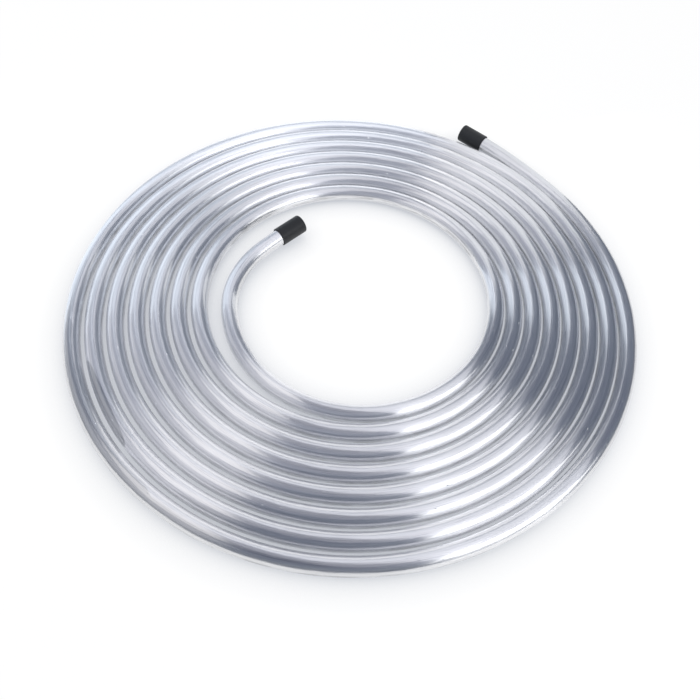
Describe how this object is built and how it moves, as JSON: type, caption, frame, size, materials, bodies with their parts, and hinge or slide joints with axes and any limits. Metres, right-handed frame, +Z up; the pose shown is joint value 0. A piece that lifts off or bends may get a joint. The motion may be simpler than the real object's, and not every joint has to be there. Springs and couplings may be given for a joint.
{
  "type": "coil of aluminum fuel line",
  "caption": "Bright round aluminum tube wound into a flat single-layer spiral coil with an open eye, its two free ends closed by black push-on caps.",
  "frame": {"origin": "on the floor under the middle of the outermost turn", "axes": "+Z up out of the flat coil; +X toward the side where the turns lie closest together; the tube runs outward counter-clockwise seen from above"},
  "size_m": [0.4238, 0.417, 0.0193],
  "materials": {
    "aluminum": "bright drawn",
    "cap_vinyl": "satin"
  },
  "bodies": {
    "root": {"tube": "aluminum", "inner_end_cap": "cap_vinyl", "outer_end_cap": "cap_vinyl"}
  },
  "joints": []
}
